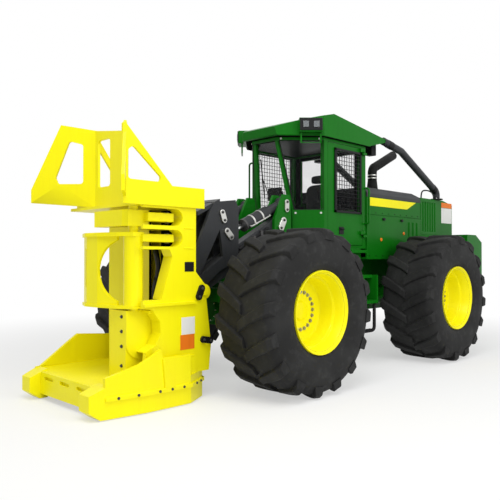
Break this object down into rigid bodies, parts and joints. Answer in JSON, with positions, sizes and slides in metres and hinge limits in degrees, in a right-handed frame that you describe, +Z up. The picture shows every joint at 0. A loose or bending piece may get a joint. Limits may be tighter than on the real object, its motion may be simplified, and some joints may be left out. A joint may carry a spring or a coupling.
{
  "type": "wheel feller buncher",
  "caption": "Articulated wheeled forestry machine: rear engine and cab, front boom with a felling head that has a disc saw base, swing arms and tall horns.",
  "frame": {"origin": "on the ground, at the middle of the bounding box in plan", "axes": "+X forward to the felling head, +Y to the machine's left, +Z up"},
  "size_m": [7.035, 3.188, 3.3698],
  "materials": {
    "green_paint": "gloss",
    "yellow_paint": "gloss",
    "grey_paint": "satin",
    "chrome_rod": "polished",
    "cast": "painted",
    "steel": "worn",
    "black_trim": "matte",
    "seat_trim": "woven",
    "glass": "clear",
    "rubber": "matte",
    "tyre": "matte"
  },
  "bodies": {
    "rear_frame": {"rear_chassis": "green_paint", "rear_axle": "cast", "engine_block": "cast", "hood_sides": "green_paint", "hood_top": "grey_paint", "rear_hood": "green_paint", "cooler_block": "grey_paint", "rear_bumper": "green_paint", "cab_shell": "green_paint", "cab_roof": "green_paint", "cab_glass": "glass", "seat": "seat_trim", "console": "black_trim", "roof_lamps": "black_trim", "limb_risers": "grey_paint", "intake_stack": "black_trim", "access_steps": "green_paint", "bottom_step": "rubber", "tow_hitch": "steel", "window_guards": "black_trim", "hand_rails": "black_trim"},
    "door": {"cab_door": "green_paint", "door_glass": "glass", "door_guard": "black_trim"},
    "front_frame": {"front_chassis": "green_paint", "front_axle": "cast"},
    "boom": {"boom_arms": "green_paint", "boom_knees": "grey_paint", "hose_tray": "grey_paint"},
    "lift_barrel": {"lift_barrels": "grey_paint"},
    "lift_rod": {"lift_rods": "chrome_rod"},
    "tilt_barrel": {"tilt_barrels": "grey_paint"},
    "tilt_rod": {"tilt_rods": "chrome_rod"},
    "head": {"head_tower": "yellow_paint", "head_base": "yellow_paint", "head_horns": "yellow_paint", "throat_guard": "yellow_paint"},
    "saw": {"saw_disc": "steel"},
    "accumulator": {"accumulator_arm": "yellow_paint"},
    "clamp": {"clamp_arm": "yellow_paint"},
    "wheel_front_left": {"tyre_front_left": "tyre", "rim_front_left": "yellow_paint"},
    "wheel_front_right": {"tyre_front_right": "tyre", "rim_front_right": "yellow_paint"},
    "wheel_rear_left": {"tyre_rear_left": "tyre", "rim_rear_left": "yellow_paint"},
    "wheel_rear_right": {"tyre_rear_right": "tyre", "rim_rear_right": "yellow_paint"}
  },
  "joints": [
    {"name": "articulation", "type": "hinge", "parent": "rear_frame", "child": "front_frame", "pos_m": [-0.2725, 0, 1], "axis": [0, 0, 1], "range_deg": [-45, 45]},
    {"name": "boom_lift", "type": "hinge", "parent": "front_frame", "child": "boom", "pos_m": [0.6315, 0, 1.928], "axis": [0, -1, 0], "range_deg": [0, 35]},
    {"name": "head_tilt", "type": "hinge", "parent": "boom", "child": "head", "pos_m": [2.1475, 0, 1.12], "axis": [0, 1, 0], "range_deg": [-8, 30]},
    {"name": "lift_barrel_swing", "type": "hinge", "parent": "front_frame", "child": "lift_barrel", "pos_m": [0.5575, 0, 2.174], "axis": [0, -1, 0], "range_deg": [0, 31.18]},
    {"name": "lift_rod_slide", "type": "slide", "parent": "lift_barrel", "child": "lift_rod", "axis": [0.9123, 0, -0.4095], "range_m": [-0.1381, 0]},
    {"name": "tilt_barrel_swing", "type": "hinge", "parent": "boom", "child": "tilt_barrel", "pos_m": [1.6475, 0, 1.98], "axis": [0, -1, 0], "range_deg": [-9.75, 2.75]},
    {"name": "tilt_rod_slide", "type": "slide", "parent": "tilt_barrel", "child": "tilt_rod", "axis": [0.3162, 0, -0.9487], "range_m": [-0.139, 0.0385]},
    {"name": "saw_spin", "type": "hinge", "parent": "head", "child": "saw", "pos_m": [2.7125, 0, 0.12], "axis": [0, 0, 1], "continuous": true},
    {"name": "accumulator_swing", "type": "hinge", "parent": "head", "child": "accumulator", "pos_m": [2.9125, 0.47, 1.3], "axis": [0, 0, 1], "range_deg": [0, 85]},
    {"name": "clamp_swing", "type": "hinge", "parent": "head", "child": "clamp", "pos_m": [2.9125, 0.47, 1.87], "axis": [0, 0, 1], "range_deg": [0, 85]},
    {"name": "door_swing", "type": "hinge", "parent": "rear_frame", "child": "door", "pos_m": [-0.7655, 0.686, 2.3], "axis": [0, 0, 1], "range_deg": [0, 80]},
    {"name": "wheel_front_left_spin", "type": "hinge", "parent": "front_frame", "child": "wheel_front_left", "pos_m": [1.285, 1.204, 0.9], "axis": [0, 1, 0], "continuous": true},
    {"name": "wheel_front_right_spin", "type": "hinge", "parent": "front_frame", "child": "wheel_front_right", "pos_m": [1.285, -1.204, 0.9], "axis": [0, 1, 0], "continuous": true},
    {"name": "wheel_rear_left_spin", "type": "hinge", "parent": "rear_frame", "child": "wheel_rear_left", "pos_m": [-1.83, 1.204, 0.9], "axis": [0, 1, 0], "continuous": true},
    {"name": "wheel_rear_right_spin", "type": "hinge", "parent": "rear_frame", "child": "wheel_rear_right", "pos_m": [-1.83, -1.204, 0.9], "axis": [0, 1, 0], "continuous": true}
  ],
  "couplings": [
    {"joint": "lift_barrel_swing", "follows": "boom_lift", "ratio": 0.88515},
    {"joint": "lift_rod_slide", "follows": "boom_lift", "m_per_rad": -0.22287},
    {"joint": "tilt_barrel_swing", "follows": "head_tilt", "ratio": -0.31841},
    {"joint": "tilt_rod_slide", "follows": "head_tilt", "m_per_rad": -0.26159}
  ]
}
